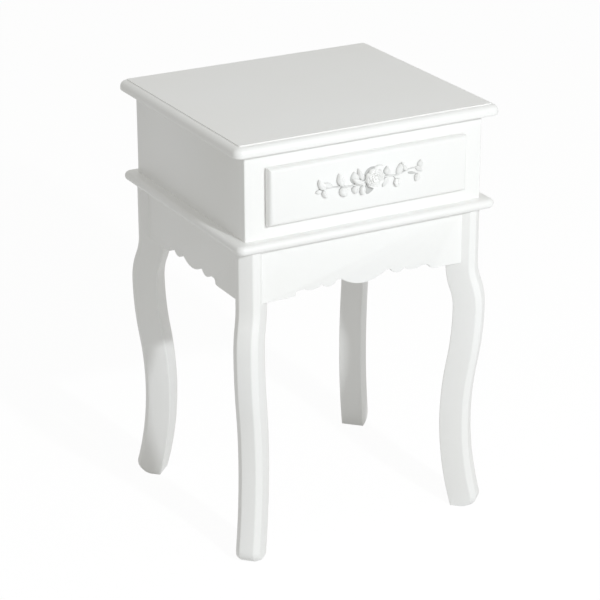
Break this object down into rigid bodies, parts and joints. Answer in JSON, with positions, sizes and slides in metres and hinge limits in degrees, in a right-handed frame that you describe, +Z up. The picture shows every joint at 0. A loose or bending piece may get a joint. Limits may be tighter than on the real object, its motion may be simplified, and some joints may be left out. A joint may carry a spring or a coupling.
{
  "type": "nightstand",
  "caption": "White painted nightstand with a drawer, a carved rose garland on its front, a moulded top, a bullnose waist board, scalloped aprons and curved legs.",
  "frame": {"origin": "on the floor, at the middle of the plan", "axes": "+Z up, the drawer front faces -Y, +X is to the right as the drawer is faced"},
  "size_m": [0.4, 0.3658, 0.6],
  "materials": {
    "painted_wood": "white satin paint",
    "bare_wood": "bare pale hardwood",
    "plated_steel": "bright zinc plate"
  },
  "bodies": {
    "cabinet": {"top_board": "painted_wood", "case_side_left": "painted_wood", "case_side_right": "painted_wood", "case_back": "painted_wood", "front_stile_left": "painted_wood", "front_stile_right": "painted_wood", "front_rail_top": "painted_wood", "front_rail_bottom": "painted_wood", "waist_board": "painted_wood", "apron_front": "painted_wood", "apron_back": "painted_wood", "apron_left": "painted_wood", "apron_right": "painted_wood", "leg_front_left": "painted_wood", "leg_front_right": "painted_wood", "leg_back_left": "painted_wood", "leg_back_right": "painted_wood", "block_front_left": "bare_wood", "block_front_right": "bare_wood", "block_back_left": "bare_wood", "block_back_right": "bare_wood", "cleat_left": "bare_wood", "cleat_right": "bare_wood", "runner_left": "bare_wood", "runner_right": "bare_wood", "drawer_stop": "bare_wood", "frame_dowels": "bare_wood", "top_screws": "plated_steel", "waist_screws": "plated_steel", "block_screws": "plated_steel", "back_screws": "plated_steel", "runner_screws": "plated_steel", "stop_screw": "plated_steel", "leg_bolts": "plated_steel", "leg_washers": "plated_steel", "leg_nuts": "plated_steel"},
    "drawer": {"drawer_front": "painted_wood", "rose_garland": "painted_wood", "drawer_inner_front": "bare_wood", "drawer_side_left": "bare_wood", "drawer_side_right": "bare_wood", "drawer_back": "bare_wood", "drawer_bottom": "bare_wood", "drawer_dowels": "bare_wood", "front_screws": "plated_steel"}
  },
  "joints": [
    {"name": "drawer_slide", "type": "slide", "parent": "cabinet", "child": "drawer", "axis": [0, -1, 0], "range_m": [0, 0.2]}
  ]
}
